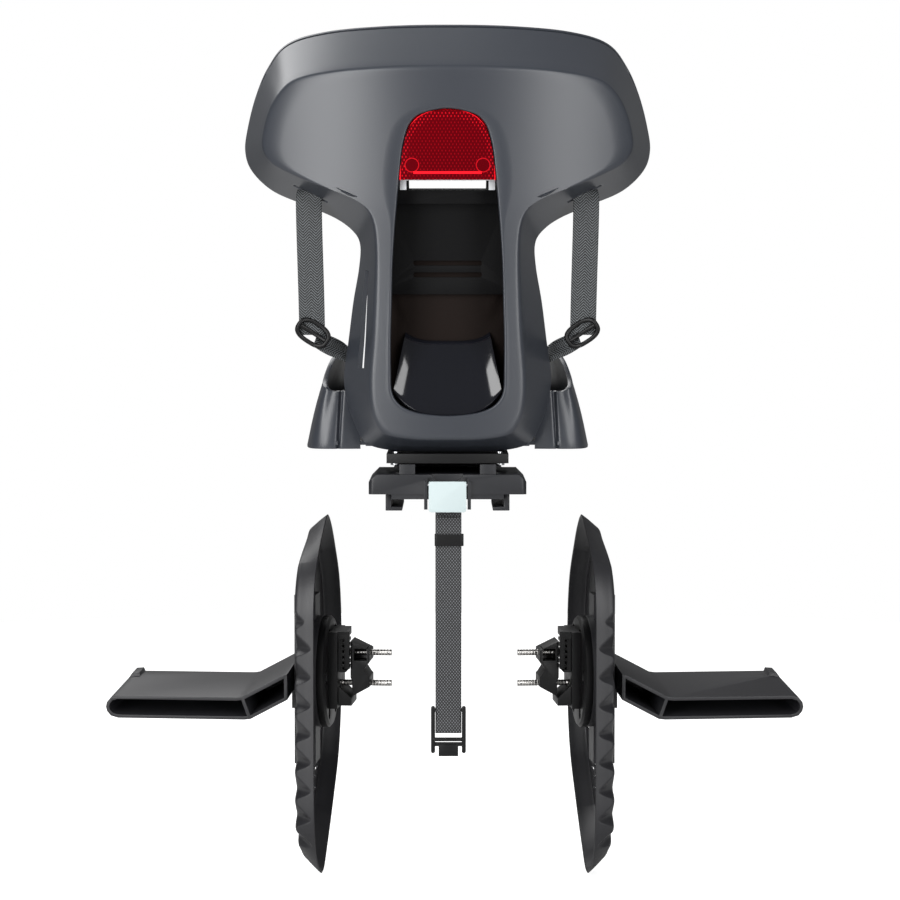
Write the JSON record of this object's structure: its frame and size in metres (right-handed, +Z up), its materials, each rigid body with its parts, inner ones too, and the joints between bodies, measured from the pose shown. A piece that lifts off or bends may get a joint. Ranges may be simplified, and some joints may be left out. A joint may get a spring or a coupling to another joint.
{
  "type": "rear child bike seat",
  "caption": "Rear child bike seat with a winged shell, rear reflector, harness, rack adapter with release lever, tether strap, leg guards and foot rests.",
  "frame": {"origin": "middle of the adapter's underside, where it lies on the rack", "axes": "+X to the right as seen from behind, +Y the way the child faces, +Z up"},
  "size_m": [0.7452, 0.3295, 0.89],
  "materials": {
    "shell_plastic": "satin",
    "black_plastic": "matt",
    "gloss_panel": "polished",
    "foam_pad": "textile over foam",
    "red_lens": "prismatic lens",
    "grey_plastic": "matt",
    "steel": "zinc plated",
    "webbing": "woven",
    "strap_pad": "padded knit",
    "red_button": "gloss",
    "adapter_plastic": "moulded",
    "pale_lever": "satin",
    "guard_plastic": "grained"
  },
  "bodies": {
    "seat": {"seat_shell": "shell_plastic", "seat_base": "shell_plastic", "back_liner": "black_plastic", "lower_cowl": "gloss_panel", "back_cushion": "foam_pad", "seat_cushion": "foam_pad", "reflector_lens": "red_lens", "reflector_back": "grey_plastic", "reflector_screws": "steel", "shoulder_strap_left": "webbing", "shoulder_strap_right": "webbing", "slider_left": "black_plastic", "slider_right": "black_plastic", "hip_strap_left": "webbing", "hip_strap_right": "webbing", "shoulder_pad_left": "strap_pad", "shoulder_pad_right": "strap_pad", "buckle_body": "black_plastic", "tongue_left": "steel", "tongue_right": "steel", "crotch_strap": "webbing", "seat_bracket": "black_plastic", "bracket_screws": "steel", "adapter_plate": "adapter_plastic", "rack_jaws": "adapter_plastic", "lever_pin": "steel", "tether_strap": "webbing", "strap_keeper": "black_plastic", "ladder_lock": "black_plastic", "guard_hub_left": "guard_plastic", "hub_ring_left": "steel", "stay_bracket_left": "black_plastic", "v_block_left": "black_plastic", "clamp_bolts_left": "steel", "guard_hub_right": "guard_plastic", "hub_ring_right": "steel", "stay_bracket_right": "black_plastic", "v_block_right": "black_plastic", "clamp_bolts_right": "steel"},
    "lever": {"release_lever": "pale_lever"},
    "latch": {"latch_bolt": "steel"},
    "button": {"buckle_button": "red_button"},
    "guard_left": {"leg_guard_left": "guard_plastic"},
    "rest_left": {"foot_rest_left": "guard_plastic"},
    "knob_left": {"rest_knob_left": "black_plastic"},
    "guard_right": {"leg_guard_right": "guard_plastic"},
    "rest_right": {"foot_rest_right": "guard_plastic"},
    "knob_right": {"rest_knob_right": "black_plastic"}
  },
  "joints": [
    {"name": "lever_lift", "type": "hinge", "parent": "seat", "child": "lever", "pos_m": [0, -0.107, 0.015], "axis": [-1, 0, 0], "range_deg": [0, 95]},
    {"name": "latch_slide", "type": "slide", "parent": "seat", "child": "latch", "axis": [0, -1, 0], "range_m": [0, 0.0095]},
    {"name": "button_press", "type": "slide", "parent": "seat", "child": "button", "axis": [0, -0.9272, -0.3746], "range_m": [0, 0.0015], "stiffness_N_per_m": 600},
    {"name": "guard_tilt_left", "type": "hinge", "parent": "seat", "child": "guard_left", "pos_m": [-0.134, 0.06, -0.199], "axis": [-0.9959, 0.0906, 0], "range_deg": [-20, 20]},
    {"name": "rest_height_left", "type": "slide", "parent": "guard_left", "child": "rest_left", "axis": [0, 0, 1], "range_m": [-0.04, 0.04]},
    {"name": "knob_pull_left", "type": "slide", "parent": "rest_left", "child": "knob_left", "axis": [-0.9959, 0.0906, 0], "range_m": [0, 0.003], "stiffness_N_per_m": 500},
    {"name": "guard_tilt_right", "type": "hinge", "parent": "seat", "child": "guard_right", "pos_m": [0.149, 0.06, -0.199], "axis": [0.9959, 0.0906, 0], "range_deg": [-20, 20]},
    {"name": "rest_height_right", "type": "slide", "parent": "guard_right", "child": "rest_right", "axis": [0, 0, 1], "range_m": [-0.04, 0.04]},
    {"name": "knob_pull_right", "type": "slide", "parent": "rest_right", "child": "knob_right", "axis": [0.9959, 0.0906, 0], "range_m": [0, 0.003], "stiffness_N_per_m": 500}
  ],
  "couplings": [
    {"joint": "latch_slide", "follows": "lever_lift", "m_per_rad": 0.005}
  ]
}
